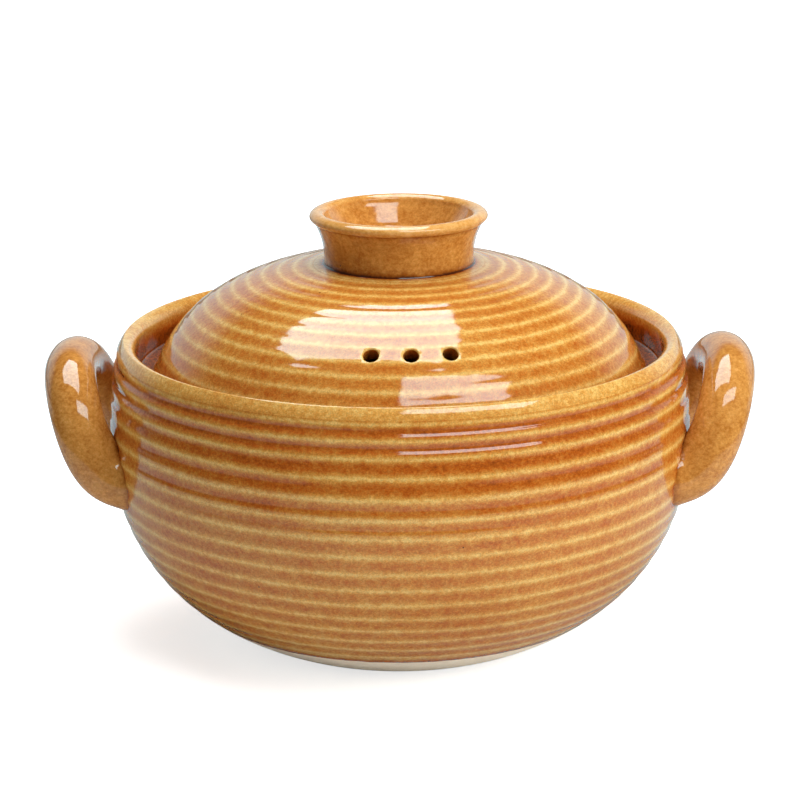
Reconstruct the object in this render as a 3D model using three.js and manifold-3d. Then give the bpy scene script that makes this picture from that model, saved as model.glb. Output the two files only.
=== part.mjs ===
// Round stoneware casserole: a ribbed bowl with two arched ear handles, and a
// ribbed dome lid with steam holes that drops inside the rim, lifted by a hollow knob.
// Millimetres, +Z up. The origin is the centre of the base, +X points to the right handle.
import * as THREE from 'three';
import { mergeVertices } from 'three/addons/utils/BufferGeometryUtils.js';
import Module from 'manifold-3d';

// Bowl
const POT_HEIGHT = 113.7;
const BELLY_RADIUS = 107.6;
const BELLY_HEIGHT = 78.2;
const RIM_RADIUS = 104.1;
const RIM_WALL = 8.8;
const FOOT_RADIUS = 52;
const BODY_POWER = 2.27;
const WALL = 7.5;
const FLOOR = 9;
const BASE_RECESS_DEPTH = 1.5;
const FOOT_RING = 11;

// Seat for the lid inside the rim
const LEDGE_DROP = 14;
const LEDGE_WIDTH = 9.6;
const LEDGE_THICKNESS = 4;
const LEDGE_DEPTH = 17;

// Ribs thrown into the outside of the bowl and the lid
const BOWL_RIB_PITCH = 6.6;
const FOOT_RIB_DEPTH = 0.4;
const RIM_RIB_DEPTH = 0.9;
const LID_RIB_PITCH = 5.95;
const LID_RIB_DEPTH = 0.4;
const RIB_DEEPEST = 0.25;
const BARE_FOOT_BAND = 35;

// Lid
const LID_HEIGHT = 40.9;
const LID_WALL = 6.5;
const LID_CLEARANCE = 4.1;
const LID_EDGE = 4.6;
const LID_EDGE_ROUND = 2;
const DOME_POWER = 2.8;
const DOME_DROP = 40;
const RIB_TO_KNOB = 4;
const HOLE_COUNT = 3;
const HOLE_DIAMETER = 5.4;
const HOLE_SPACING = 13.8;
const HOLE_FROM_EDGE = 17.2;
const HOLE_ROW_TURN = 3;
const HOLE_OVERCUT = 10;

// Knob
const KNOB_HEIGHT = 18.6;
const KNOB_LIP_RADIUS = 32.6;
const KNOB_LIP_THICKNESS = 5.6;
const KNOB_LIP_TUCK = 60;
const KNOB_NECK_RADIUS = 27.4;
const KNOB_WALL = 4.4;
const KNOB_FLOOR = 5;

// Ear handles
const EAR_DIAMETER = 19;
const EAR_WIDTH = 64;
const EAR_STANDOFF = 15.5;
const EAR_SINK = 10;
const EAR_DROP_BELOW_RIM = 3;
const EAR_RISE = 35;
const EAR_ARCH_POWER = 2.6;
const EAR_LEAN_POWER = 0.24;

// Gaps between pieces that touch, and how finely round shapes are cut into facets
const JOINT_GAP = 0.3;
const SEAT_GAP = 0.3;
const BODY_FACETS = 44;
const KNOB_FACETS = 32;
const EAR_FACETS = 12;
const EAR_STEPS = 30;
const HOLE_FACETS = 12;
const INSIDE_STEPS = 12;
const ROUND_STEPS = 4;
const WELD_TOLERANCE = 1e-4;

const GLAZE = { color: 0xb9701e, roughness: 0.16, metalness: 0 };

// Sizes that follow from the ones above
const CREST_HEIGHT = POT_HEIGHT - RIM_WALL / 2;
const RIM_INSIDE = RIM_RADIUS - RIM_WALL;
const LEDGE_HEIGHT = POT_HEIGHT - LEDGE_DROP;
const LID_SEAT = LEDGE_HEIGHT + SEAT_GAP;
const LID_RADIUS = RIM_INSIDE - LID_CLEARANCE;
const LID_TOP = LID_SEAT + LID_HEIGHT;
const HOLE_RING_RADIUS = LID_RADIUS - HOLE_FROM_EDGE;
const EAR_RADIUS = EAR_DIAMETER / 2;
const EAR_APEX_HEIGHT = POT_HEIGHT - EAR_DROP_BELOW_RIM - EAR_RADIUS;
const EAR_ROOT_HEIGHT = EAR_APEX_HEIGHT - EAR_RISE;

const wasm = await Module();
wasm.setup();

// Quarter of a power curve (|r/radius|^power + |h/reach|^power = 1) in the plane of
// radius and height, from one height to another. A negative reach curves downwards.
class PowerArc extends THREE.Curve {
  constructor(centre, radius, reach, power, from, to) {
    super();
    Object.assign(this, { centre, radius, reach, power });
    this.start = this.angleAt(from);
    this.end = this.angleAt(to);
  }

  angleAt(height) {
    const share = Math.min(1, Math.abs((height - this.centre) / this.reach));
    return Math.asin(share ** (this.power / 2));
  }

  getPoint(t, target = new THREE.Vector2()) {
    const angle = THREE.MathUtils.lerp(this.start, this.end, t);
    const round = 2 / this.power;
    const radius = this.radius * Math.max(0, Math.cos(angle)) ** round;
    return target.set(radius, this.centre + this.reach * Math.sin(angle) ** round);
  }

  radiusAt(height) {
    const share = Math.abs((height - this.centre) / this.reach);
    return this.radius * Math.max(0, 1 - share ** this.power) ** (1 / this.power);
  }
}

// Reach that takes a power curve from its full radius to a smaller radius over a height.
function reachFor(radius, smaller, height, power) {
  return height / (1 - (smaller / radius) ** power) ** (1 / power);
}

// Point of an outline at a distance along it, moved off the outline to its left.
function offsetPoint(outline, distance, offset) {
  const along = THREE.MathUtils.clamp(distance / outline.getLength(), 0, 1);
  const tangent = outline.getTangentAt(along);
  return outline.getPointAt(along).add(new THREE.Vector2(-tangent.y, tangent.x).multiplyScalar(offset));
}

// Depth of a groove as a share of its greatest depth. It is 0 at the crests below and above,
// steep on the side of the crest below and gentle on the other.
function groove(share) {
  return Math.min(share / RIB_DEEPEST, (1 - share) / (1 - RIB_DEEPEST));
}

// Ribs pressed into a stretch of an outline: a whole number of grooves near the wanted pitch,
// whose depth runs from a first to a last value.
function ribs(outline, from, to, pitch, [firstDepth, lastDepth], offset = 0) {
  const grooves = Math.max(1, Math.round((to - from) / pitch));
  const points = [];
  for (let i = 0; i < grooves; i += 1) {
    for (const step of [0, RIB_DEEPEST]) {
      const share = (i + step) / grooves;
      const depth = THREE.MathUtils.lerp(firstDepth, lastDepth, share) * groove(step);
      points.push(offsetPoint(outline, THREE.MathUtils.lerp(from, to, share), offset + depth));
    }
  }
  points.push(offsetPoint(outline, to, offset));
  return points;
}

// Welds a geometry's corners together and drops triangles that have shrunk to a line.
function welded(geometry) {
  geometry.deleteAttribute('normal');
  geometry.deleteAttribute('uv');
  const merged = mergeVertices(geometry, WELD_TOLERANCE);
  const kept = [];
  const index = merged.index.array;
  for (let i = 0; i < index.length; i += 3) {
    const [a, b, c] = index.slice(i, i + 3);
    if (a !== b && b !== c && c !== a) kept.push(a, b, c);
  }
  merged.setIndex(kept);
  return merged;
}

// Profile of (radius, height) points turned round +Z.
function revolve(profile, facets) {
  const geometry = new THREE.LatheGeometry(profile, facets);
  geometry.rotateX(Math.PI / 2);
  return welded(geometry);
}

function toSolid(geometry) {
  const vertProperties = new Float32Array(geometry.attributes.position.array);
  const triVerts = new Uint32Array(geometry.index.array);
  return new wasm.Manifold(new wasm.Mesh({ numProp: 3, vertProperties, triVerts }));
}

function toGeometry(solid) {
  const mesh = solid.getMesh();
  const geometry = new THREE.BufferGeometry();
  geometry.setAttribute('position', new THREE.BufferAttribute(mesh.vertProperties, mesh.numProp));
  geometry.setIndex(new THREE.BufferAttribute(mesh.triVerts, 1));
  return geometry;
}

function piece(name, geometry) {
  geometry.computeVertexNormals();
  const mesh = new THREE.Mesh(geometry, new THREE.MeshStandardMaterial(GLAZE));
  mesh.name = name;
  return mesh;
}

const at = (radius, height) => new THREE.Vector2(radius, height);

// Wall of the bowl above its belly, which draws in towards the rim by a power of the height.
// A rim wider than the belly makes it flare instead.
class Shoulder extends THREE.Curve {
  getPoint(t, target = new THREE.Vector2()) {
    const height = THREE.MathUtils.lerp(BELLY_HEIGHT, CREST_HEIGHT, t);
    return target.set(this.radiusAt(height), height);
  }

  radiusAt(height) {
    const share = (height - BELLY_HEIGHT) / (CREST_HEIGHT - BELLY_HEIGHT);
    return THREE.MathUtils.lerp(BELLY_RADIUS, RIM_RADIUS, share ** BODY_POWER);
  }
}

// Outside of the bowl, from the edge of the foot up over the belly to the rim
const lowerReach = reachFor(BELLY_RADIUS, FOOT_RADIUS, BELLY_HEIGHT, BODY_POWER);
const lowerWall = new PowerArc(BELLY_HEIGHT, BELLY_RADIUS, -lowerReach, BODY_POWER, 0, BELLY_HEIGHT);
const upperWall = new Shoulder();
const wall = new THREE.CurvePath();
wall.add(lowerWall);
wall.add(upperWall);

function wallRadius(height) {
  return (height < BELLY_HEIGHT ? lowerWall : upperWall).radiusAt(height);
}

// Ribs from the bare foot up to the rim, deeper towards the rim
function bowlRibs(offset = 0) {
  const depths = [FOOT_RIB_DEPTH, RIM_RIB_DEPTH];
  return ribs(wall, BARE_FOOT_BAND, wall.getLength(), BOWL_RIB_PITCH, depths, offset);
}

// Rounded top of the rim, from its outer side over to its inner side
function rimPoints() {
  const rim = new THREE.Path();
  rim.absarc(RIM_RADIUS - RIM_WALL / 2, CREST_HEIGHT, RIM_WALL / 2, 0, Math.PI);
  return rim.getPoints(ROUND_STEPS);
}

function bowlGeometry() {
  const length = wall.getLength();
  const ringInside = FOOT_RADIUS - FOOT_RING;
  const ledgeInside = RIM_INSIDE - LEDGE_WIDTH;
  const foot = [
    at(0, BASE_RECESS_DEPTH),
    at(ringInside - BASE_RECESS_DEPTH, BASE_RECESS_DEPTH),
    at(ringInside, 0),
  ];
  const bareClay = [];
  for (let i = 0; i < ROUND_STEPS; i += 1) {
    bareClay.push(offsetPoint(wall, (BARE_FOOT_BAND * i) / ROUND_STEPS, 0));
  }
  const ledge = [
    at(RIM_INSIDE, LEDGE_HEIGHT),
    at(ledgeInside, LEDGE_HEIGHT),
    at(ledgeInside, LEDGE_HEIGHT - LEDGE_THICKNESS),
  ];
  const inside = [];
  for (let i = INSIDE_STEPS; i >= 0; i -= 1) {
    const point = offsetPoint(wall, (length * i) / INSIDE_STEPS, WALL);
    if (point.y > FLOOR && point.y < LEDGE_HEIGHT - LEDGE_DEPTH) inside.push(point);
  }
  return revolve([
    ...foot,
    ...bareClay,
    ...bowlRibs(),
    ...rimPoints().slice(1),
    ...ledge,
    ...inside,
    at(0, FLOOR),
  ], BODY_FACETS);
}

// The bowl's outside as a filled body, larger by the joint gap, to cut the handles' roots
function wallClearance() {
  const outside = bowlRibs(-JOINT_GAP);
  return toSolid(revolve([at(0, outside[0].y), ...outside, at(0, outside.at(-1).y)], BODY_FACETS));
}

// Centre line of an ear handle: an arch that leaves the wall, leans out and returns to it
class EarPath extends THREE.Curve {
  getPoint(t, target = new THREE.Vector3()) {
    const angle = Math.PI * t;
    const round = 2 / EAR_ARCH_POWER;
    const rise = Math.abs(Math.sin(angle)) ** round;
    const side = Math.sign(Math.cos(angle)) * Math.abs(Math.cos(angle)) ** round;
    const y = (EAR_WIDTH / 2) * side;
    const z = THREE.MathUtils.lerp(EAR_ROOT_HEIGHT, EAR_APEX_HEIGHT, rise);
    const standoff = THREE.MathUtils.lerp(-EAR_SINK, EAR_STANDOFF, rise ** EAR_LEAN_POWER);
    return target.set(Math.sqrt(wallRadius(z) ** 2 - y ** 2) + standoff, y, z);
  }
}

function earGeometry() {
  const section = new THREE.Shape();
  section.absarc(0, 0, EAR_RADIUS, 0, 2 * Math.PI);
  const coil = new THREE.ExtrudeGeometry(section, {
    curveSegments: EAR_FACETS / 2,
    steps: EAR_STEPS,
    extrudePath: new EarPath(),
  });
  return toGeometry(toSolid(welded(coil)).subtract(wallClearance()));
}

// Outside of the lid, from its seat on the ledge up over the dome to the middle
const domeRise = LID_TOP - LID_SEAT + DOME_DROP;
const domeRadius = LID_RADIUS / (1 - (DOME_DROP / domeRise) ** DOME_POWER) ** (1 / DOME_POWER);
const domeCentre = LID_SEAT - DOME_DROP;
const dome = new PowerArc(domeCentre, domeRadius, domeRise, DOME_POWER, LID_SEAT, LID_TOP);

function domeHeight(radius) {
  return domeCentre + domeRise * (1 - (radius / domeRadius) ** DOME_POWER) ** (1 / DOME_POWER);
}

// Distance along the dome, from the seat, at which it has come in to a radius.
function domeDistance(radius) {
  const height = domeHeight(radius);
  return new PowerArc(domeCentre, domeRadius, domeRise, DOME_POWER, LID_SEAT, height).getLength();
}

// Steam holes in a row across the front of the dome, each square to the surface
function steamHoles() {
  const slope = dome.getTangentAt(domeDistance(HOLE_RING_RADIUS) / dome.getLength());
  const lean = Math.atan2(slope.y, -slope.x);
  const radius = HOLE_DIAMETER / 2;
  const depth = LID_WALL + 2 * HOLE_OVERCUT;
  let holes = null;
  for (let i = 0; i < HOLE_COUNT; i += 1) {
    const offset = (i - (HOLE_COUNT - 1) / 2) * HOLE_SPACING;
    const turn = THREE.MathUtils.degToRad(HOLE_ROW_TURN) + offset / HOLE_RING_RADIUS;
    const drill = new THREE.CylinderGeometry(radius, radius, depth, HOLE_FACETS);
    drill.rotateX(Math.PI / 2 + lean);
    drill.translate(0, -HOLE_RING_RADIUS, domeHeight(HOLE_RING_RADIUS));
    drill.rotateZ(turn);
    const solid = toSolid(welded(drill));
    holes = holes ? holes.add(solid) : solid;
  }
  return holes;
}

function lidGeometry() {
  const length = dome.getLength();
  const ribsEnd = domeDistance(KNOB_NECK_RADIUS + RIB_TO_KNOB);
  const underside = [at(0, LID_TOP - LID_WALL)];
  for (let i = INSIDE_STEPS - 1; i > 0; i -= 1) {
    const point = offsetPoint(dome, (length * i) / INSIDE_STEPS, LID_WALL);
    if (point.y > LID_SEAT) underside.push(point);
  }
  const seat = [
    at(LID_RADIUS - LID_WALL, LID_SEAT),
    at(LID_RADIUS - LID_EDGE_ROUND, LID_SEAT),
    at(LID_RADIUS, LID_SEAT + LID_EDGE_ROUND),
  ];
  const body = revolve([
    ...underside,
    ...seat,
    ...ribs(dome, LID_EDGE, ribsEnd, LID_RIB_PITCH, [LID_RIB_DEPTH, LID_RIB_DEPTH]),
    at(KNOB_NECK_RADIUS, domeHeight(KNOB_NECK_RADIUS)),
    at(0, LID_TOP),
  ], BODY_FACETS);
  return toGeometry(toSolid(body).subtract(steamHoles()));
}

function knobGeometry() {
  const lip = KNOB_LIP_THICKNESS / 2;
  const top = LID_TOP + KNOB_HEIGHT;
  const lipCentre = at(KNOB_LIP_RADIUS - lip, top - lip);
  const tuck = -THREE.MathUtils.degToRad(KNOB_LIP_TUCK);
  const underLip = at(Math.cos(tuck), Math.sin(tuck)).multiplyScalar(lip).add(lipCentre);
  const floor = LID_TOP + KNOB_FLOOR;
  const inside = KNOB_NECK_RADIUS - KNOB_WALL;
  const base = domeHeight(KNOB_NECK_RADIUS) + JOINT_GAP;
  const profile = new THREE.Path();
  profile.moveTo(0, LID_TOP + JOINT_GAP);
  profile.lineTo(KNOB_NECK_RADIUS, base);
  profile.quadraticCurveTo(KNOB_NECK_RADIUS, (base + top) / 2, underLip.x, underLip.y);
  profile.absarc(lipCentre.x, lipCentre.y, lip, tuck, Math.PI);
  profile.quadraticCurveTo(inside, floor + lip, inside - lip, floor);
  profile.lineTo(0, floor);
  return revolve(profile.getPoints(ROUND_STEPS), KNOB_FACETS);
}

const rightHandle = piece('right_handle', earGeometry());
const leftHandle = piece('left_handle', earGeometry());
leftHandle.rotation.z = Math.PI;

const pot = new THREE.Group();
pot.add(piece('bowl', bowlGeometry()), rightHandle, leftHandle);

const cover = new THREE.Group();
cover.add(piece('lid', lidGeometry()), piece('lid_knob', knobGeometry()));

const casserole = new THREE.Group();
casserole.add(pot, cover);

export default casserole;
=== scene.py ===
import math

import bpy
import numpy as np
from mathutils import Euler, Matrix, Vector
from mathutils.kdtree import KDTree


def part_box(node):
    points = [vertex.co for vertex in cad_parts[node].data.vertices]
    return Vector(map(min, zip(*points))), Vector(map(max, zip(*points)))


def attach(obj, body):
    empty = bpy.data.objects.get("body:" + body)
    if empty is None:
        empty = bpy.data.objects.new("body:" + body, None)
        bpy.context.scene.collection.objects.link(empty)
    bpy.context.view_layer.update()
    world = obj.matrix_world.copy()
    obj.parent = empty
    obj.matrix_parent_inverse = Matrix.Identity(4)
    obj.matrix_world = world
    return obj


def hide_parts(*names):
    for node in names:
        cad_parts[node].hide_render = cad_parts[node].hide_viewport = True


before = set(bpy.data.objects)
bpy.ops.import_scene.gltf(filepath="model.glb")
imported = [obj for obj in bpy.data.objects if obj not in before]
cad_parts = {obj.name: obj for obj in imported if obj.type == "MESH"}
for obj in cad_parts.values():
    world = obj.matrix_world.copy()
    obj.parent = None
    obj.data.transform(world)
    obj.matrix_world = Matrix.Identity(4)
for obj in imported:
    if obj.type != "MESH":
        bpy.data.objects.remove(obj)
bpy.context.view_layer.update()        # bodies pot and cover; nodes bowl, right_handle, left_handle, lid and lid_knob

# Ribbed stoneware casserole under an amber glaze that breaks pale over every rib.
# Metres, +Z up. The viewer stands on the -Y side and the right handle is at +X.

MM = 0.001

# Sizes taken from the frame
POT_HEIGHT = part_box("bowl")[1].z
BELLY_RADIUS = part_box("bowl")[1].y
LID_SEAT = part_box("lid")[0].z
LID_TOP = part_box("lid")[1].z
LID_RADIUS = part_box("lid")[1].y
KNOB_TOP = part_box("lid_knob")[1].z
KNOB_LIP_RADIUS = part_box("lid_knob")[1].y
EAR_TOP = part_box("right_handle")[1].z

# Bowl
BELLY_HEIGHT = 78.2 * MM
RIM_RADIUS = 104.1 * MM
RIM_WALL = 6.9 * MM
RIM_BEVEL = 2.6 * MM
RIM_BEVEL_POWER = 1.22
RIM_ROUND_POWER = 1.8
RIM_DROP = 0.4 * MM
CREST_DROP = 4.4 * MM
FOOT_RADIUS = 52 * MM
BODY_POWER = 2.27
WALL = 7.5 * MM
FLOOR = 9 * MM
FLOOR_ROUND = 6 * MM
BASE_RECESS = 1.5 * MM
FOOT_RING = 11 * MM
FOOT_ROUND = 1.5 * MM
CREST_HEIGHT = POT_HEIGHT - CREST_DROP
RIM_INSIDE = RIM_RADIUS - RIM_WALL

# Seat for the lid inside the rim
LEDGE_DROP = 14 * MM
LEDGE_REACH = 18.4 * MM
LEDGE_THICKNESS = 4 * MM
LEDGE_DEPTH = 17 * MM
LEDGE_ROUND = 1.4 * MM
LEDGE_HEIGHT = POT_HEIGHT - LEDGE_DROP
LEDGE_INSIDE = RIM_RADIUS - LEDGE_REACH

# Ribs, with their depth and the glaze in their grooves at shares of the way up the wall
BOWL_RIBS_START = 35 * MM
BOWL_RIB_PITCH = 6.6 * MM
BOWL_RIB_SHARES = (0.0, 0.6, 0.75, 0.84, 0.9, 1.0)
BOWL_RIB_DEPTHS = (0.2 * MM, 0.16 * MM, 0.2 * MM, 0.42 * MM, 0.88 * MM, 0.72 * MM)
BOWL_GROOVE_GLAZE = (0.72, 0.75, 1.0, 1.05, 1.05, 1.05)
BOWL_RIB_CREEP = 1.7 * MM
RIB_CREEP_START = 0.69
LID_RIB_PITCH = 5.95 * MM
LID_RIB_SHARES = (0.0, 1.0)
LID_RIB_DEPTHS = (0.05 * MM, 0.13 * MM)
# The lid's grooves are kept pale, paler towards the knob: partly thin glaze, partly a painted pale reflection on the
# dome
LID_GROOVE_GLAZE_AND_REFLECTION = (0.74, 0.68)
RIB_DEEPEST = 0.3
CREST_SOFTNESS = 0.4
HOLLOW_SOFTNESS = 0.7
STEPS_PER_RIB = 15
RIB_WANDER = 0.3 * MM
RIB_WANDER_LENGTH = 40 * MM
BOWL_SEED = 3
LID_SEED = 5

# Reach of a groove's two soft slopes at its deepest, which a rib's depth is measured by
GROOVE_FULL = math.hypot(1 - HOLLOW_SOFTNESS / 6, CREST_SOFTNESS) - CREST_SOFTNESS

# Glaze, from 0 where it is thin to 1 where it is full, with its lower edge above the bare foot
GLAZE_LINE = 28 * MM
GLAZE_LINE_BLUR = 2 * MM
GLAZE_ROLL = 4 * MM
ROLL_GLAZE = 1.2
CREST_GLAZE = 0.05
RIM_GLAZE = 0.42
RIM_THINNING = 0.5
INSIDE_GLAZE = 0.6
# Glaze down the inner rim wall to the ledge, partly pooled glaze and partly painted shade of the gap under the lid
THROAT_GLAZE_AND_SHADE = 1.05
LID_EDGE_GLAZE = 0.9
HOLE_GLAZE = 1.3
EAR_GLAZE = 0.55
ROOT_GLAZE = 0.7
LIP_GLAZE = 0.2
UNDER_LIP_GLAZE = 0.5
KNOB_FLOOR_GLAZE = 0.9
SEAM_GLAZE = 1.7
SEAM_REACH = 0.8 * MM

# Thin band on every rib, in shares of the pitch: its slip below the crest, and its fade up and down
GLAZE_SLIP = 0.2
GLAZE_ABOVE = 0.32
GLAZE_BELOW = 0.29
BAND_SOFTNESS = 0.4
FULL_SOFTNESS = 0.6

# Lid
LID_WALL = 6.5 * MM
LID_EDGE = 4.6 * MM
LID_EDGE_ROUND = 2 * MM
DOME_POWER = 2.8
DOME_DROP = 40 * MM
RIB_TO_KNOB = 4 * MM

# Steam holes
HOLE_COUNT = 3
HOLE_RADIUS = 2.7 * MM
HOLE_ROUND = 0.8 * MM
HOLE_SPACING = 13.8 * MM
HOLE_FROM_EDGE = 17.2 * MM
HOLE_ROW_TURN = math.radians(3)
HOLE_RING_RADIUS = LID_RADIUS - HOLE_FROM_EDGE
DRILL_REACH = 12 * MM

# Knob
KNOB_LIP = 2.1 * MM
KNOB_LIP_WIDTH = 5.8 * MM
KNOB_LIP_POWER = 1.85
KNOB_HOLLOW_RADIUS = 20.6 * MM
KNOB_HOLLOW_DEPTH = 11 * MM
KNOB_LIP_TUCK = math.radians(60)
KNOB_NECK_RADIUS = 27.4 * MM
KNOB_FLOOR_BEND = 4.4 * MM
KNOB_FLOOR_THICKNESS = 5 * MM
KNOB_SINK = 0.2 * MM
KNOB_FILLET = 0.8 * MM
KNOB_FLOOR = LID_TOP + KNOB_FLOOR_THICKNESS

# Ear handles
EAR_APEX_DROP = 12.5 * MM
EAR_RISE = 35 * MM
EAR_HALF_WIDTH = 32 * MM
EAR_STANDOFF = 15.5 * MM
EAR_SINK = 10 * MM
EAR_ARCH_POWER = 2.6
EAR_LEAN_POWER = 0.24
EAR_ROOT_DEPTH = 2 * MM
EAR_FLARE = 0.12
EAR_FLARE_REACH = 3 * MM
EAR_APEX = POT_HEIGHT - EAR_APEX_DROP
EAR_RADIUS = EAR_TOP - EAR_APEX
EAR_ROOT = EAR_APEX - EAR_RISE

# Unevenness of the glaze: its sizes, and how much it changes the thickness
MOTTLE_SIZE = 1.2 * MM
MOTTLE_STRETCH = (0.8, 0.8, 1.0)
MOTTLE_AMOUNT = 1.2
BLOTCH_SIZE = 4.5 * MM
DRIFT_SIZE = 38 * MM
DRIFT_AMOUNT = 0.5
GRAIN_SIZE = 0.45 * MM
GRAIN_RANGE = (0.25, 0.75)
WAVE_SIZE = 9 * MM
WAVE_HEIGHT = 0.12 * MM
GLAZE_IOR = 1.55
GLAZE_ROUGHNESS = (0.04, 0.1)

# Pinholes, with their edge in shares of their spacing
PINHOLE_SPACING = 7 * MM
PINHOLE_EDGE = (0.03, 0.055)
PINHOLE_RARITY = 0.965
PINHOLE_COLOUR = "#3a1c0a"

# Bare clay
GRIT_SIZE = 1.6 * MM
GRIT_HEIGHT = 0.1 * MM
CLAY_ROUGHNESS = 0.85
CLAY_COLOURS = ("#f3e2c8", "#fff8e8")
WIPED_EDGE = (0.62, 0.68)
WIPED_UNEVENNESS = 0.3

# Colours of the glaze by its thickness, and the amounts of its fine and its broad unevenness
BODY_COLOURS = ((0.0, "#deb668"), (0.35, "#cd9445"), (0.7, "#bc762e"), (1.05, "#ac5616"), (1.7, "#4a210a"))
BODY_SPECKLE = 0.22
BODY_PATCHES = 0.5
COIL_COLOURS = ((0.0, "#dca862"), (0.35, "#cc9046"), (0.75, "#b0702d"), (1.1, "#935014"), (1.7, "#4a210a"))
COIL_SPECKLE = 0.1
COIL_PATCHES = 0.65

# How finely the surfaces are drawn
BOWL_FACETS = 216
LID_FACETS = 288
KNOB_FACETS = 160
DRILL_FACETS = 40
PATH_STEPS = 1200
ROUND_STEPS = 6
ARC_STEPS = 20
PLAIN_STEP = 2 * MM
FOOT_BAND_STEP = PLAIN_STEP / 3
EAR_STEPS = 180
EAR_RESOLUTION = 22
WELD = 1e-6

# Photograph's view: a long lens a metre away, turned a little about its own axis
VIEW_DISTANCE = 1.0
VIEW_TARGET = Vector((0, 0, 87.3 * MM))
VIEW_ELEVATION = math.radians(15.81)
VIEW_ROLL = math.radians(0.45)
VIEW_LENS = 121.05
VIEW_SENSOR = 36

# Stage: a white sheet that runs back under the pot, in a dim room with two softboxes
FLOOR_SIZE = 8.0
SHEET_FRONT = -0.32
SHEET_FADE = 0.03
SHEET_REACH = 0.4
SHEET_BEHIND = (0.12, 0.38)
SHEET_WHITE = 0.92
SHEET_MIRRORED = 0.65
SHEET_GLOW = 0.7
SHEET_GLOW_REACH = (0.25, 0.9)
BACKDROP_SIDE = (0.3, 0.7)
BACKDROP_TOP = (0.35, 0.6)
ROOM_GLOW = 0.05
WORLD_FILL = 0.07
DAYLIGHT = "#d6eef4"

# Softboxes as the glaze mirrors them, and the lamps with their place, aim, size and watts
OVERHEAD_CORNERS = ((-0.26, 0.74), (-0.63, 0.3), (-0.63, -0.07), (0.24, -0.24), (0.28, 0), (0.17, 0.74))
OVERHEAD_HEIGHT = 1.05
OVERHEAD_GLOW = 8.5
FRONT_CORNERS = ((0.02, -0.41), (0, -0.76), (0.84, -0.6), (0.7, -0.26))
FRONT_HEIGHT = 0.88
FRONT_GLOW = 8
LAMPS = {
    "overhead_lamp": ((-0.15, 0.3, OVERHEAD_HEIGHT), (-0.1, 0.2, 0), (0.85, 0.9), 10.5),
    "front_lamp": ((0.38, -0.5, FRONT_HEIGHT), (0, 0, 0.1), (0.75, 0.34), 5),
    "side_lamp": ((1.1, -0.63, 0.7), (0, 0, 0.08), (1.0, 1.0), 12),
}


def tint(code):
    """Linear colour of an sRGB hex value."""
    channels = [int(code[i:i + 2], 16) / 255 for i in (1, 3, 5)]
    return [c / 12.92 if c <= 0.04045 else ((c + 0.055) / 1.055) ** 2.4 for c in channels] + [1.0]


def add(tree, kind, settings=None, inputs=None):
    """Adds a node with its settings. Each input is a value, or a node or socket to link to it."""
    node = tree.nodes.new(kind)
    for name, value in (settings or {}).items():
        setattr(node, name, value)
    for key, value in (inputs or {}).items():
        named = (s for s in node.inputs if s.enabled and s.name == key)
        socket = node.inputs[key] if isinstance(key, int) else next(named)
        if isinstance(value, bpy.types.Node):
            value = next(s for s in value.outputs if s.enabled)
        if isinstance(value, bpy.types.NodeSocket):
            tree.links.new(value, socket)
        else:
            socket.default_value = value
    return node


def calc(tree, operation, *values):
    return add(tree, "ShaderNodeMath", {"operation": operation}, dict(enumerate(values)))


def scaled(tree, vector, amount):
    return add(tree, "ShaderNodeVectorMath", {"operation": "SCALE"},
               {"Vector": vector, "Scale": amount})


def summed(tree, first, second):
    return add(tree, "ShaderNodeVectorMath", {"operation": "ADD"}, {0: first, 1: second})


def fade(tree, value, reach, ends=(0.0, 1.0)):
    """Smooth step from one end to the other as a value passes over its reach."""
    return add(tree, "ShaderNodeMapRange", {"interpolation_type": "SMOOTHSTEP"}, {
        "Value": value,
        "From Min": reach[0],
        "From Max": reach[1],
        "To Min": ends[0],
        "To Max": ends[1],
    })


# Half sections of the thrown pieces

ROW_VALUES = ("along", "glaze", "bare", "gather", "sway")


class Outline:
    """Half section of a thrown piece, from the axis round the clay, on the left, and back to the axis.
    Each row has a point (radius, height), its glaze, 1 for bare clay, the distance along the ribs, the
    glaze gathered in a groove, the push of a full groove into the clay, and the ribs' share of sway."""

    def __init__(self):
        self.rows = []

    def row(self, point, glaze, bare=0.0, along=0.0, gather=0.0, push=(0.0, 0.0), sway=0.0):
        point = Vector(point)
        if self.rows and (point - self.rows[-1]["point"]).length < WELD:
            return
        self.rows.append({"point": point, "glaze": glaze, "bare": bare, "along": along, "gather": gather,
                          "push": Vector(push), "sway": sway})

    def plain(self, points, glaze, bare=0.0):
        for point in points:
            self.row(point, glaze, bare)

    def ribs(self, path, start, end, pitch, shares, depths, glazes, creep=0.0):
        """A whole number of grooves along a stretch of a path, with their depth and glaze given at
        shares of the stretch. The upper ones creep upwards. Returns their true pitch."""
        span = end - start
        grooves = round(span / pitch)
        pitch = span / grooves
        run = np.linspace(0, span, grooves * STEPS_PER_RIB + 1)
        for point, inward, along in zip(*walk(path, start + run), run):
            depth = np.interp(along / span, shares, depths)
            gather = np.interp(along / span, shares, glazes) - CREST_GLAZE
            sway = min(along, span - along, pitch) / pitch
            upper = max(along / span - RIB_CREEP_START, 0) / (1 - RIB_CREEP_START)
            nominal = along - creep * math.sin(math.pi * upper)
            self.row(point, CREST_GLAZE, 0.0, nominal, gather, inward * depth / GROOVE_FULL, sway)
        return pitch


def length(path):
    return float(np.linalg.norm(np.diff(path, axis=0), axis=1).sum())


def walk(path, distances):
    """Points at distances along a dense path, and the directions into the clay on its left."""
    run = np.concatenate(([0.0], np.cumsum(np.linalg.norm(np.diff(path, axis=0), axis=1))))
    tangent = np.gradient(path, run, axis=0)
    points = np.column_stack([np.interp(distances, run, path[:, i]) for i in range(2)])
    ahead = np.column_stack([np.interp(distances, run, tangent[:, i]) for i in range(2)])
    ahead /= np.linalg.norm(ahead, axis=1)[:, None]
    return points, np.column_stack([-ahead[:, 1], ahead[:, 0]])


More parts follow.
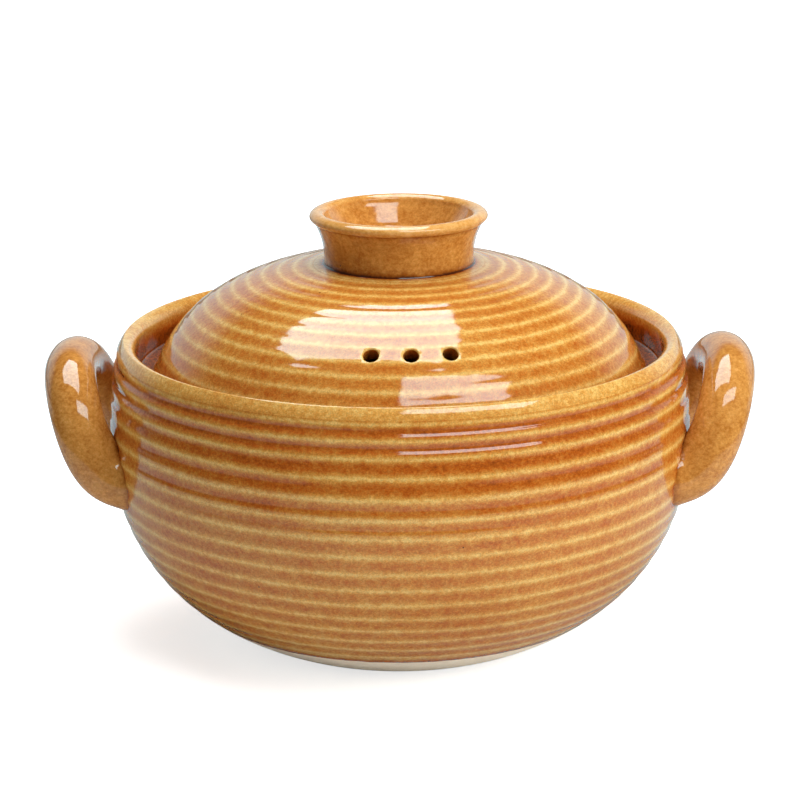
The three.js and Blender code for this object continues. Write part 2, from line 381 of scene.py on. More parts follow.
def bend(start, corner, end, steps):
    """Quadratic curve from start to end, pulled towards a corner."""
    start, corner, end = Vector(start), Vector(corner), Vector(end)
    shares = [i / steps for i in range(steps + 1)]
    return [start * (1 - t) ** 2 + corner * 2 * t * (1 - t) + end * t ** 2 for t in shares]


def softened(corners, radius):
    """Corner points joined by straight lines, with each corner rounded off."""
    corners = [Vector(c) for c in corners]
    points = [corners[0]]
    for before, corner, after in zip(corners, corners[1:], corners[2:]):
        back, on = before - corner, after - corner
        start = corner + back.normalized() * min(radius, back.length / 2)
        end = corner + on.normalized() * min(radius, on.length / 2)
        points += bend(start, corner, end, ROUND_STEPS)
    return points + [corners[-1]]


def arc(centre, radius, start, end):
    angles = np.linspace(start, end, ARC_STEPS + 1)
    return [(centre[0] + radius * math.cos(a), centre[1] + radius * math.sin(a)) for a in angles]


def oval_part(centre, across, up, power, start, end):
    """Part of an oval, whose shoulders are bevelled for a power below 2."""
    points = []
    for angle in np.linspace(start, end, ARC_STEPS + 1):
        cosine, sine = math.cos(angle), math.sin(angle)
        x = math.copysign(abs(cosine) ** (2 / power), cosine)
        y = math.copysign(abs(sine) ** (2 / power), sine)
        points.append((centre[0] + across * x, centre[1] + up * y))
    return points


def filled(points):
    """Polyline with more points on its long straight stretches."""
    points = [Vector(p) for p in points]
    out = [points[0]]
    for a, b in zip(points, points[1:]):
        steps = max(1, round((b - a).length / PLAIN_STEP))
        out += [a.lerp(b, (i + 1) / steps) for i in range(steps)]
    return out


# Bowl: power curves from the foot up over the belly to the rim

LOWER_REACH = BELLY_HEIGHT / (1 - (FOOT_RADIUS / BELLY_RADIUS) ** BODY_POWER) ** (1 / BODY_POWER)


def wall_radius(height):
    """Outer radius of the bowl over its ribs' crests."""
    if height < BELLY_HEIGHT:
        share = (BELLY_HEIGHT - height) / LOWER_REACH
        return BELLY_RADIUS * (1 - share ** BODY_POWER) ** (1 / BODY_POWER)
    share = (height - BELLY_HEIGHT) / (CREST_HEIGHT - BELLY_HEIGHT)
    return BELLY_RADIUS + (RIM_RADIUS - BELLY_RADIUS) * share ** BODY_POWER


def bowl_outline():
    wall = np.array([(wall_radius(h), h) for h in np.linspace(0, CREST_HEIGHT, PATH_STEPS)])
    out = Outline()

    foot_inside = FOOT_RADIUS - FOOT_RING
    base = [
        (0, BASE_RECESS),
        (foot_inside - BASE_RECESS, BASE_RECESS),
        (foot_inside, 0),
        (FOOT_RADIUS, 0),
        walk(wall, [2 * FOOT_ROUND])[0][0],
    ]
    out.plain(filled(softened(base, FOOT_ROUND)), INSIDE_GLAZE, 1.0)
    band = np.arange(2.5 * FOOT_ROUND, BOWL_RIBS_START, FOOT_BAND_STEP)
    for point, distance in zip(walk(wall, band)[0], band):
        above = distance - GLAZE_LINE
        rolled = ROLL_GLAZE * math.exp(-(above / GLAZE_ROLL) ** 2)
        out.row(point, max(rolled, CREST_GLAZE), np.clip(0.5 - above / (2 * GLAZE_LINE_BLUR), 0, 1))
    pitch = out.ribs(wall, BOWL_RIBS_START, length(wall), BOWL_RIB_PITCH,
                     BOWL_RIB_SHARES, BOWL_RIB_DEPTHS, BOWL_GROOVE_GLAZE, BOWL_RIB_CREEP)

    rise = CREST_DROP - RIM_DROP
    apex = (RIM_RADIUS - RIM_BEVEL, CREST_HEIGHT)
    rim = oval_part(apex, RIM_BEVEL, rise, RIM_BEVEL_POWER, 0, math.pi / 2)
    rim += oval_part(apex, RIM_WALL - RIM_BEVEL, rise, RIM_ROUND_POWER, math.pi / 2, math.pi)
    for point in filled(rim):
        out.row(point, RIM_GLAZE * (1 - RIM_THINNING * (point.y - CREST_HEIGHT) / rise))
    throat = [
        rim[-1],
        (RIM_INSIDE, LEDGE_HEIGHT),
        (LEDGE_INSIDE, LEDGE_HEIGHT),
        (LEDGE_INSIDE, LEDGE_HEIGHT - LEDGE_THICKNESS),
    ]
    # The inner rim wall and ledge darken downwards: partly pooled glaze, partly painted shade of the gap under the
    # lid
    for point in filled(softened(throat, LEDGE_ROUND)):
        down = (CREST_HEIGHT - point.y) / (CREST_HEIGHT - LEDGE_HEIGHT)
        out.row(point, RIM_GLAZE + THROAT_GLAZE_AND_SHADE * min(2 * down, 1))

    points, inward = walk(wall, np.linspace(length(wall), 0, PATH_STEPS))
    inner = [p for p in points + inward * WALL if FLOOR < p[1] < LEDGE_HEIGHT - LEDGE_DEPTH][::ARC_STEPS]
    out.plain(inner[:-1], INSIDE_GLAZE)
    floor = [inner[-1], (inner[-1][0], FLOOR), (0, FLOOR)]
    out.plain(filled(softened(floor, FLOOR_ROUND)), INSIDE_GLAZE)
    return out, pitch


# Lid: a power curve from its seat on the ledge up over the dome

DOME_RISE = LID_TOP - LID_SEAT + DOME_DROP
DOME_RADIUS = LID_RADIUS / (1 - (DOME_DROP / DOME_RISE) ** DOME_POWER) ** (1 / DOME_POWER)


def dome_height(radius):
    share = (1 - (radius / DOME_RADIUS) ** DOME_POWER) ** (1 / DOME_POWER)
    return LID_SEAT - DOME_DROP + DOME_RISE * share


def dome_path(inner_radius=0.0):
    radii = np.linspace(LID_RADIUS, inner_radius, PATH_STEPS)
    return np.array([(r, dome_height(r)) for r in radii])


def lid_outline():
    dome = dome_path()
    out = Outline()
    points, inward = walk(dome, np.linspace(length(dome), 0, PATH_STEPS))
    under = [p for p in points + inward * LID_WALL if p[1] > LID_SEAT][::ARC_STEPS]
    under[0] = (0, under[0][1])
    out.plain(under, INSIDE_GLAZE)
    seat = [
        under[-1],
        (LID_RADIUS - LID_WALL, LID_SEAT),
        (LID_RADIUS - LID_EDGE_ROUND, LID_SEAT),
        (LID_RADIUS, LID_SEAT + LID_EDGE_ROUND),
        walk(dome, [LID_EDGE])[0][0],
    ]
    for point in filled(softened(seat, LID_EDGE_ROUND / 2)):
        out.row(point, LID_EDGE_GLAZE, 1.0 if point.y < LID_SEAT + LID_EDGE_ROUND / 4 else 0.0)

    neck = KNOB_NECK_RADIUS
    ribs_end = length(dome_path(neck + RIB_TO_KNOB))
    pitch = out.ribs(dome, LID_EDGE, ribs_end, LID_RIB_PITCH,
                     LID_RIB_SHARES, LID_RIB_DEPTHS, LID_GROOVE_GLAZE_AND_REFLECTION)
    for radius in np.linspace(neck + RIB_TO_KNOB, neck, ARC_STEPS):
        inwards = (neck + RIB_TO_KNOB - radius) / RIB_TO_KNOB
        seam = SEAM_GLAZE * math.exp(-(radius - neck) / SEAM_REACH)
        out.row((radius, dome_height(radius)), CREST_GLAZE + INSIDE_GLAZE * inwards + seam)
    out.plain([(r, dome_height(r)) for r in np.linspace(neck, 0, ARC_STEPS)], SEAM_GLAZE)
    return out, pitch


# Knob: a flared neck with a rolled lip round a hollow

def knob_outline():
    out = Outline()
    neck = KNOB_NECK_RADIUS
    base = dome_height(neck)
    lip_centre = (KNOB_LIP_RADIUS - KNOB_LIP_WIDTH / 2, KNOB_TOP - KNOB_LIP)
    lip = oval_part(lip_centre, KNOB_LIP_WIDTH / 2, KNOB_LIP, KNOB_LIP_POWER, -KNOB_LIP_TUCK, math.pi)
    foot = [(r, dome_height(r) - KNOB_SINK) for r in np.linspace(0, neck + KNOB_FILLET, ARC_STEPS)]
    out.plain(foot, SEAM_GLAZE)
    fillet = bend(foot[-1], (neck, base), (neck, base + 2 * KNOB_FILLET), ROUND_STEPS)
    side = bend(fillet[-1], (neck, (base + KNOB_TOP) / 2), lip[0], 2 * ARC_STEPS)
    for point in fillet + side:
        seam = SEAM_GLAZE * math.exp(-(point.y - base) / SEAM_REACH)
        under_lip = UNDER_LIP_GLAZE * math.exp(-(lip[0][1] - point.y) / SEAM_REACH)
        out.row(point, EAR_GLAZE + seam + under_lip)
    for i, point in enumerate(lip):
        out.row(point, LIP_GLAZE + (i / ARC_STEPS - 0.5) ** 2)
    cone = Vector((KNOB_HOLLOW_RADIUS, KNOB_TOP - KNOB_HOLLOW_DEPTH))
    turn = Vector((cone.x - KNOB_FLOOR_BEND, KNOB_FLOOR))
    hollow = filled([lip[-1], cone]) + bend(cone, turn, (turn.x - KNOB_FLOOR_BEND, KNOB_FLOOR), ARC_STEPS)
    out.plain(hollow, EAR_GLAZE)
    out.plain(filled([hollow[-1], (0, KNOB_FLOOR)]), KNOB_FLOOR_GLAZE)
    return out


def drill_outline():
    """Tool that bores a steam hole and rounds its edge, standing on the dome with its axis upright."""
    out = Outline()
    edge = arc((HOLE_RADIUS + HOLE_ROUND, -HOLE_ROUND), HOLE_ROUND, math.pi, math.pi / 2)
    out.plain([(0, -DRILL_REACH), (HOLE_RADIUS, -DRILL_REACH)], 0.0)
    out.plain(edge, 0.0)
    out.plain([(edge[-1][0], DRILL_REACH), (0, DRILL_REACH)], 0.0)
    return out


# Geometry nodes

def new_tree(name, sockets):
    """Empty geometry node tree with named inputs, and its input node."""
    tree = bpy.data.node_groups.new(name, "GeometryNodeTree")
    tree.interface.new_socket("Geometry", in_out="OUTPUT", socket_type="NodeSocketGeometry")
    tree.interface.new_socket("Geometry", in_out="INPUT", socket_type="NodeSocketGeometry")
    for label, kind in sockets.items():
        tree.interface.new_socket(label, in_out="INPUT", socket_type="NodeSocket" + kind)
    return tree, add(tree, "NodeGroupInput")


def close_tree(tree, geometry, material):
    """Ends a tree in a real, smooth mesh with its material."""
    smooth = add(tree, "GeometryNodeSetShadeSmooth", {}, {"Geometry": geometry})
    real = add(tree, "GeometryNodeRealizeInstances", {}, {"Geometry": smooth})
    dressed = add(tree, "GeometryNodeSetMaterial", {}, {"Geometry": real, "Material": material})
    add(tree, "NodeGroupOutput", {}, {"Geometry": dressed})


def thrown_clay_tree():
    """Turns an outline round the axis and presses its ribs into the clay, with a little sway.
    Glaze is thin just under every crest, where it slips off, and gathers in the grooves."""
    tree, given = new_tree("thrown_clay", {
        "Facets": "Int",
        "Rib pitch": "Float",
        "Deepest": "Float",
        "Crest softness": "Float",
        "Hollow softness": "Float",
        "Glaze slip": "Float",
        "Glaze above": "Float",
        "Glaze below": "Float",
        "Sway": "Float",
        "Sway length": "Float",
        "Sway radius": "Float",
        "Seed": "Int",
        "Material": "Material",
    })
    want = given.outputs
    outline = want["Geometry"]
    rows = add(tree, "GeometryNodeAttributeDomainSize", {"component": "MESH"}, {"Geometry": outline})
    columns = add(tree, "FunctionNodeIntegerMath", {}, {0: want["Facets"], 1: 1})
    grid = add(tree, "GeometryNodeMeshGrid", {},
               {"Vertices X": rows.outputs["Point Count"], "Vertices Y": columns})
    index = add(tree, "GeometryNodeInputIndex")
    row = add(tree, "FunctionNodeIntegerMath", {"operation": "DIVIDE_FLOOR"}, {0: index, 1: columns})
    column = add(tree, "FunctionNodeIntegerMath", {"operation": "MODULO"}, {0: index, 1: columns})
    fetched = {}
    kinds = dict.fromkeys((*ROW_VALUES, "run"), "FLOAT") | dict.fromkeys(("spot", "push"), "FLOAT_VECTOR")
    for name, kind in kinds.items():
        field = add(tree, "GeometryNodeInputNamedAttribute", {"data_type": kind}, {"Name": name})
        fetched[name] = add(tree, "GeometryNodeSampleIndex", {"data_type": kind},
                            {"Geometry": outline, "Value": field, "Index": row})

    # Angle round the axis, with the seam at the back, and the place that the sway is drawn from
    turn = calc(tree, "DIVIDE", column, want["Facets"])
    angle = calc(tree, "MULTIPLY_ADD", turn, math.tau, math.pi / 2)
    cosine = calc(tree, "COSINE", angle)
    sine = calc(tree, "SINE", angle)
    around = add(tree, "ShaderNodeCombineXYZ", {}, {"X": cosine, "Y": sine})
    wide = scaled(tree, around, want["Sway radius"])
    up = add(tree, "ShaderNodeCombineXYZ", {}, {"Z": fetched["run"]})
    unrolled = summed(tree, wide, up)

    # Share of the way from the crest below to the crest above
    finer = calc(tree, "DIVIDE", 1.0, want["Sway length"])
    uneven = add(tree, "ShaderNodeTexNoise", {"noise_dimensions": "4D"},
                 {"Vector": unrolled, "W": want["Seed"], "Scale": finer, "Detail": 1.0})
    swing = calc(tree, "MULTIPLY_ADD", uneven, 2.0, -1.0)
    held = calc(tree, "MULTIPLY", swing, fetched["sway"])
    drift = calc(tree, "MULTIPLY_ADD", held, want["Sway"], fetched["along"])
    grooves = calc(tree, "DIVIDE", drift, want["Rib pitch"])
    share = calc(tree, "FRACT", grooves)
    left = calc(tree, "SUBTRACT", 1.0, share)
    beyond = calc(tree, "SUBTRACT", 1.0, want["Deepest"])

    # Groove: two slopes that meet in a soft hollow, with soft crests between grooves
    steep = calc(tree, "DIVIDE", share, want["Deepest"])
    gentle = calc(tree, "DIVIDE", left, beyond)
    slopes = calc(tree, "SMOOTH_MIN", steep, gentle, want["Hollow softness"])
    soft = want["Crest softness"]
    soft_square = calc(tree, "MULTIPLY", soft, soft)
    square = calc(tree, "MULTIPLY_ADD", slopes, slopes, soft_square)
    lifted = calc(tree, "SQRT", square)
    groove = calc(tree, "SUBTRACT", lifted, soft)

    push = scaled(tree, fetched["push"], groove)
    section = summed(tree, fetched["spot"], push)
    parts = add(tree, "ShaderNodeSeparateXYZ", {}, {0: section})
    level = scaled(tree, around, parts.outputs["X"])
    lift = add(tree, "ShaderNodeCombineXYZ", {}, {"Z": parts.outputs["Z"]})
    place = summed(tree, level, lift)

    # Glaze, thin in a band under each crest and full in the groove
    slipped = calc(tree, "ADD", grooves, want["Glaze slip"])
    from_thin = calc(tree, "FRACT", slipped)
    to_thin = calc(tree, "SUBTRACT", 1.0, from_thin)
    thicker = calc(tree, "DIVIDE", from_thin, want["Glaze above"])
    thinner = calc(tree, "DIVIDE", to_thin, want["Glaze below"])
    between = calc(tree, "SMOOTH_MIN", thicker, thinner, BAND_SOFTNESS)
    full = calc(tree, "SMOOTH_MIN", between, 1.0, FULL_SOFTNESS)
    glaze = calc(tree, "MULTIPLY_ADD", full, fetched["gather"], fetched["glaze"])

    geometry = grid
    for name, value in {"glaze": glaze, "bare": fetched["bare"]}.items():
        geometry = add(tree, "GeometryNodeStoreNamedAttribute", {"data_type": "FLOAT"},
                       {"Geometry": geometry, "Name": name, "Value": value})
    shaped = add(tree, "GeometryNodeSetPosition", {}, {"Geometry": geometry, "Position": place})
    outward = add(tree, "GeometryNodeFlipFaces", {}, {"Mesh": shaped})
    closed = add(tree, "GeometryNodeMergeByDistance", {}, {"Geometry": outward, "Distance": WELD})
    close_tree(tree, closed, want["Material"])
    return tree


def steam_holes_tree():
    """Bores a row of steam holes square to the dome. Glaze is thin on their edges and pools inside."""
    tree, given = new_tree("steam_holes", {
        "Drill": "Object",
        "Count": "Int",
        "Spacing": "Float",
        "Ring radius": "Float",
        "Row turn": "Float",
        "Height": "Float",
        "Lean": "Float",
        "Edge": "Float",
        "Material": "Material",
    })
    want = given.outputs
    dome = want["Geometry"]
    index = add(tree, "GeometryNodeInputIndex")
    last = calc(tree, "SUBTRACT", want["Count"], 1.0)
    middle = calc(tree, "MULTIPLY", last, 0.5)
    place = calc(tree, "SUBTRACT", index, middle)
    step = calc(tree, "DIVIDE", want["Spacing"], want["Ring radius"])
    turn = calc(tree, "MULTIPLY_ADD", place, step, want["Row turn"])
    sine = calc(tree, "SINE", turn)
    cosine = calc(tree, "COSINE", turn)
    front = calc(tree, "MULTIPLY", cosine, -1.0)
    around = add(tree, "ShaderNodeCombineXYZ", {}, {"X": sine, "Y": front})
    ring = scaled(tree, around, want["Ring radius"])
    lift = add(tree, "ShaderNodeCombineXYZ", {}, {"Z": want["Height"]})
    spot = summed(tree, ring, lift)
    points = add(tree, "GeometryNodePoints", {}, {"Count": want["Count"], "Position": spot})
    angles = add(tree, "ShaderNodeCombineXYZ", {}, {"X": want["Lean"], "Z": turn})
    rotation = add(tree, "FunctionNodeEulerToRotation", {}, {"Euler": angles})
    drill = add(tree, "GeometryNodeObjectInfo", {}, {"Object": want["Drill"]})
    copies = add(tree, "GeometryNodeInstanceOnPoints", {}, {
        "Points": points,
        "Instance": drill.outputs["Geometry"],
        "Rotation": rotation,
    })
    drills = add(tree, "GeometryNodeRealizeInstances", {}, {"Geometry": copies})
    pierced = add(tree, "GeometryNodeMeshBoolean", {"operation": "DIFFERENCE", "solver": "EXACT"},
                  {"Mesh 1": dome, "Mesh 2": drills})

    # The cut leaves no glaze values on its new points, so they come from the whole dome
    geometry = pierced.outputs["Mesh"]
    whole = {}
    for name in ("glaze", "bare"):
        field = add(tree, "GeometryNodeInputNamedAttribute", {"data_type": "FLOAT"}, {"Name": name})
        whole[name] = add(tree, "GeometryNodeSampleNearestSurface", {"data_type": "FLOAT"},
                          {"Mesh": dome, "Value": field})
    from_drill = add(tree, "GeometryNodeProximity", {}, {"Geometry": drills}).outputs["Distance"]
    from_dome = add(tree, "GeometryNodeProximity", {}, {"Geometry": dome}).outputs["Distance"]
    half = calc(tree, "MULTIPLY", want["Edge"], 0.5)
    cut = add(tree, "ShaderNodeMapRange", {},
              {"Value": from_drill, "From Max": half, "To Min": 1.0, "To Max": 0.0})
    in_hole = add(tree, "ShaderNodeMapRange", {},
                  {"Value": from_dome, "From Min": half, "From Max": want["Edge"], "To Max": HOLE_GLAZE})
    glaze = add(tree, "ShaderNodeMix", {}, {"Factor": cut, "A": whole["glaze"], "B": in_hole})
    for name, value in {"glaze": glaze, "bare": whole["bare"]}.items():
        geometry = add(tree, "GeometryNodeStoreNamedAttribute", {"data_type": "FLOAT"},
                       {"Geometry": geometry, "Name": name, "Value": value})
    close_tree(tree, geometry, want["Material"])
    return tree


def outline_object(name, outline):
    """Outline as an open line of points that carries its values, for the thrown clay tree."""
    rows = outline.rows
    spots = [(row["point"].x, 0.0, row["point"].y) for row in rows]
    mesh = bpy.data.meshes.new(name)
    mesh.from_pydata(spots, [(i, i + 1) for i in range(len(rows) - 1)], [])
    steps = [math.dist(a, b) for a, b in zip(spots, spots[1:])]
    columns = {label: [row[label] for row in rows] for label in ROW_VALUES}
    columns["run"] = np.concatenate(([0.0], np.cumsum(steps)))
    for label, values in columns.items():
        mesh.attributes.new(label, "FLOAT", "POINT").data.foreach_set("value", np.float32(values))
    vectors = {"spot": spots, "push": [(row["push"].x, 0.0, row["push"].y) for row in rows]}
    for label, values in vectors.items():
        flat = np.float32(values).ravel()
        mesh.attributes.new(label, "FLOAT_VECTOR", "POINT").data.foreach_set("vector", flat)
    piece = bpy.data.objects.new(name, mesh)
    bpy.context.scene.collection.objects.link(piece)
    return piece


def grow(piece, *steps):
    """Runs geometry node trees on a piece, with their values by input name, and keeps the plain mesh."""
    for tree, values in steps:
        modifier = piece.modifiers.new(tree.name, "NODES")
        modifier.node_group = tree
        for item in tree.interface.items_tree:
            if item.name in values:
                modifier[item.identifier] = values[item.name]
    bpy.context.view_layer.update()
    ready = piece.evaluated_get(bpy.context.evaluated_depsgraph_get())
    mesh = bpy.data.meshes.new_from_object(ready)
    piece.modifiers.clear()
    piece.data = mesh
    return piece


# Ear handles: a round coil bent to an arch and luted to the wall

def ear_path():
    """Centre line of the right handle, which leaves the wall, leans out and returns to it."""
    points = []
    for share in np.linspace(0, 1, EAR_STEPS):
        angle = math.pi * (1 - math.cos(math.pi * share)) / 2
        rise = math.sin(angle) ** (2 / EAR_ARCH_POWER) if 0 < share < 1 else 0.0
        side = math.copysign(abs(math.cos(angle)) ** (2 / EAR_ARCH_POWER), math.cos(angle))
        y = EAR_HALF_WIDTH * side
        z = EAR_ROOT + (EAR_APEX - EAR_ROOT) * rise
        standoff = -EAR_SINK + (EAR_STANDOFF + EAR_SINK) * rise ** EAR_LEAN_POWER
        points.append(Vector((math.sqrt(wall_radius(z) ** 2 - y ** 2) + standoff, y, z)))
    return points


def ear_finder():
    """Finds the nearest place on the right handle's centre line."""
    path = ear_path()
    finder = KDTree(len(path))
    for i, point in enumerate(path):
        finder.insert(point, i)
    finder.balance()
    return finder


def from_wall(place):
    """Distance of a place outside the bowl's wall."""
    return math.hypot(place.x, place.y) - wall_radius(place.z)


def ear_handle(name, turned, material):
    """Round coil along the right handle's centre line, turned half round for the left side."""
    curve = bpy.data.curves.new(name, "CURVE")
    curve.dimensions = "3D"
    curve.bevel_depth = EAR_RADIUS
    curve.bevel_resolution = EAR_RESOLUTION
    curve.use_fill_caps = True
    path = ear_path()
    spline = curve.splines.new("POLY")
    spline.points.add(len(path) - 1)
    for point, place in zip(spline.points, path):
        point.co = (*place, 1.0)
    coil = bpy.data.objects.new(name + "_coil", curve)
    bpy.context.scene.collection.objects.link(coil)
    bpy.context.view_layer.update()
    mesh = bpy.data.meshes.new_from_object(coil.evaluated_get(bpy.context.evaluated_depsgraph_get()))
    bpy.data.objects.remove(coil)
    shape_roots(mesh)
    if turned:
        mesh.transform(Matrix.Rotation(math.pi, 4, "Z"))
    for polygon in mesh.polygons:
        polygon.use_smooth = True
    mesh.materials.clear()
    mesh.materials.append(material)
    mesh.name = name
    piece = bpy.data.objects.new(name, mesh)
    bpy.context.scene.collection.objects.link(piece)
    return piece


def shape_roots(mesh):
    """Spreads a coil where it meets the wall, keeps its ends inside the wall and pools glaze round it."""
    finder = ear_finder()
    glaze = mesh.attributes.new("glaze", "FLOAT", "POINT").data
    for vertex in mesh.vertices:
        place = vertex.co.copy()
        centre = finder.find(place)[0]
        place += (place - centre) * EAR_FLARE * math.exp(-max(from_wall(place), 0) / EAR_FLARE_REACH)
        sunk = -EAR_ROOT_DEPTH - from_wall(place)
        if sunk > 0:
            place += Vector((place.x, place.y, 0)).normalized() * sunk
        vertex.co = place
        seam = math.exp(-max(from_wall(place), 0) / SEAM_REACH)
        glaze[vertex.index].value = EAR_GLAZE + seam * (SEAM_GLAZE - EAR_GLAZE) / 2


def pool_round_roots(mesh):
    """Pools glaze on the bowl's wall along the roots of both handles."""
    finder = ear_finder()
    glaze = mesh.attributes["glaze"].data
    for vertex in mesh.vertices:
        place = Vector((abs(vertex.co.x), vertex.co.y, vertex.co.z))
        if place.x > EAR_HALF_WIDTH and from_wall(place) > -EAR_ROOT_DEPTH:
            gap = finder.find(place)[2] - EAR_RADIUS * (1 + EAR_FLARE)
            glaze[vertex.index].value += ROOT_GLAZE * math.exp(-max(gap, 0) / SEAM_REACH)


# Materials

def amber_glaze(name, stops, speckle, patches):
    """Amber iron glaze over thrown stoneware, dipped and fired glossy. It flows off the ribs' crests
    while molten, so they show pale clay through it, and it gathers dark in grooves, seams and holes.
    The melt leaves a fine brown mottle, a few pinholes and a slightly wavy mirror surface.
    Stops are pairs of a thickness and its colour, and speckle and patches are the amounts of fine and
    of broad unevenness."""
    material = bpy.data.materials.new(name)
    material.use_nodes = True
    tree = material.node_tree
    tree.nodes.clear()
    glaze = add(tree, "ShaderNodeAttribute", {"attribute_name": "glaze"}).outputs["Fac"]
    bare = add(tree, "ShaderNodeAttribute", {"attribute_name": "bare"}).outputs["Fac"]
    place = add(tree, "ShaderNodeTexCoord").outputs["Object"]

    # Mottle is drawn out a little round the piece, as the clay was thrown
    drawn = add(tree, "ShaderNodeMapping", {}, {"Vector": place, "Scale": MOTTLE_STRETCH})
    mottle = add(tree, "ShaderNodeTexNoise", {},
                 {"Vector": drawn, "Scale": 1 / MOTTLE_SIZE, "Detail": 3.0, "Roughness": 0.65})
    blotch = add(tree, "ShaderNodeTexNoise", {},
                 {"Vector": place, "Scale": 1 / BLOTCH_SIZE, "Detail": 2.0})
    drift = add(tree, "ShaderNodeTexNoise", {},
                {"Vector": place, "Scale": 1 / DRIFT_SIZE, "Detail": 1.0})
    thickness = glaze
    for noise, amount in ((mottle, MOTTLE_AMOUNT), (blotch, patches), (drift, DRIFT_AMOUNT)):
        centred = calc(tree, "SUBTRACT", noise, 0.5)
        thickness = calc(tree, "MULTIPLY_ADD", centred, amount, thickness)
    thickest = stops[-1][0]
    share = calc(tree, "DIVIDE", thickness, thickest)
    ramp = add(tree, "ShaderNodeValToRGB", {}, {"Fac": share})
    while len(ramp.color_ramp.elements) < len(stops):
        ramp.color_ramp.elements.new(1.0)
    for element, (level, colour) in zip(ramp.color_ramp.elements, stops):
        element.position = level / thickest
        element.color = tint(colour)

    # Fine grain of the clay and the iron in the glaze
    grain = add(tree, "ShaderNodeTexNoise", {}, {"Vector": drawn, "Scale": 1 / GRAIN_SIZE, "Detail": 1.0})
    shade = add(tree, "ShaderNodeMapRange", {},
                {"Value": grain, "From Min": GRAIN_RANGE[0], "From Max": GRAIN_RANGE[1],
                 "To Min": 1 - speckle, "To Max": 1 + speckle})
    grained = scaled(tree, ramp.outputs["Color"], shade)

    # Pinholes of about half a millimetre, a few in a patch as large as a palm
    cells = add(tree, "ShaderNodeTexVoronoi", {},
                {"Vector": place, "Scale": 1 / PINHOLE_SPACING, "Randomness": 1.0})
    pinhole = add(tree, "ShaderNodeMapRange", {},
                  {"Value": cells.outputs["Distance"], "From Min": PINHOLE_EDGE[0],
                   "From Max": PINHOLE_EDGE[1], "To Min": 1.0, "To Max": 0.0})
    chance = add(tree, "ShaderNodeSeparateColor", {}, {"Color": cells.outputs["Color"]})
    rare = calc(tree, "GREATER_THAN", chance.outputs["Red"], PINHOLE_RARITY)
    speck = calc(tree, "MULTIPLY", pinhole, rare)
    specked = add(tree, "ShaderNodeMix", {"data_type": "RGBA"},
                  {"Factor": speck, "A": grained, "B": tint(PINHOLE_COLOUR)})

    # Bare stoneware at the foot and under the lid's edge, where the glaze was wiped off by hand
    grit = add(tree, "ShaderNodeTexNoise", {}, {"Vector": place, "Scale": 1 / GRIT_SIZE, "Detail": 4.0})
    clay = add(tree, "ShaderNodeMix", {"data_type": "RGBA"},
               {"Factor": grit, "A": tint(CLAY_COLOURS[0]), "B": tint(CLAY_COLOURS[1])})
    edge = calc(tree, "MULTIPLY_ADD", blotch, WIPED_UNEVENNESS, bare)
    wiped = add(tree, "ShaderNodeMapRange", {},
                {"Value": edge, "From Min": WIPED_EDGE[0], "From Max": WIPED_EDGE[1]})
    colour = add(tree, "ShaderNodeMix", {"data_type": "RGBA"}, {"Factor": wiped, "A": specked, "B": clay})
    sheen = add(tree, "ShaderNodeMapRange", {},
                {"Value": blotch, "To Min": GLAZE_ROUGHNESS[0], "To Max": GLAZE_ROUGHNESS[1]})
    roughness = add(tree, "ShaderNodeMix", {}, {"Factor": wiped, "A": sheen, "B": CLAY_ROUGHNESS})

    waves = add(tree, "ShaderNodeTexNoise", {}, {"Vector": place, "Scale": 1 / WAVE_SIZE, "Detail": 1.0})
    wavy = add(tree, "ShaderNodeBump", {}, {"Strength": 1.0, "Distance": WAVE_HEIGHT, "Height": waves})
    gritty = add(tree, "ShaderNodeBump", {},
                 {"Strength": wiped, "Distance": GRIT_HEIGHT, "Height": grit, "Normal": wavy})
    shader = add(tree, "ShaderNodeBsdfPrincipled", {}, {
        "Base Color": colour,
        "Roughness": roughness,
        "IOR": GLAZE_IOR,
        "Normal": gritty,
    })
    add(tree, "ShaderNodeOutputMaterial", {}, {"Surface": shader})
    return material


# Stage

def floor_material():
    """White paper sheet. Seen directly it is as white as the studio behind it. In the glaze it is white
    round the pot and behind it, and the dim room shows in front and at the sides."""
    material = bpy.data.materials.new("white_paper_sheet")
    material.use_nodes = True
    tree = material.node_tree
    tree.nodes.clear()
    path = add(tree, "ShaderNodeLightPath")
    place = add(tree, "ShaderNodeTexCoord").outputs["Object"]
    parts = add(tree, "ShaderNodeSeparateXYZ", {}, {0: place})
    away = add(tree, "ShaderNodeVectorMath", {"operation": "LENGTH"}, {0: place}).outputs["Value"]
    front_edge = (SHEET_FRONT - SHEET_FADE, SHEET_FRONT + SHEET_FADE)
    round_edge = (SHEET_REACH - 2 * SHEET_FADE, SHEET_REACH + 2 * SHEET_FADE)
    ahead = fade(tree, parts.outputs["Y"], front_edge, (ROOM_GLOW, 1.0))
    around = fade(tree, away, round_edge, (SHEET_MIRRORED, ROOM_GLOW))
    behind = fade(tree, parts.outputs["Y"], SHEET_BEHIND, (ROOM_GLOW, 1.0))
    wide = calc(tree, "MAXIMUM", around, behind)
    mirrored = calc(tree, "MINIMUM", ahead, wide)
    cool = scaled(tree, tint(DAYLIGHT)[:3], mirrored)
    colour = add(tree, "ShaderNodeMix", {"data_type": "RGBA"},
                 {"Factor": path.outputs["Is Glossy Ray"],
                  "A": (SHEET_WHITE, SHEET_WHITE, SHEET_WHITE, 1.0), "B": cool})
    open_floor = fade(tree, away, SHEET_GLOW_REACH, (SHEET_GLOW, 1.0))
    direct = calc(tree, "MAXIMUM", path.outputs["Is Camera Ray"], path.outputs["Is Transmission Ray"])
    glow = calc(tree, "MULTIPLY", direct, open_floor)
    paper = add(tree, "ShaderNodeBsdfDiffuse", {}, {"Color": colour})
    light = add(tree, "ShaderNodeEmission", {}, {"Strength": glow})
    both = add(tree, "ShaderNodeAddShader", {}, {0: paper, 1: light})
    add(tree, "ShaderNodeOutputMaterial", {}, {"Surface": both})
    return material


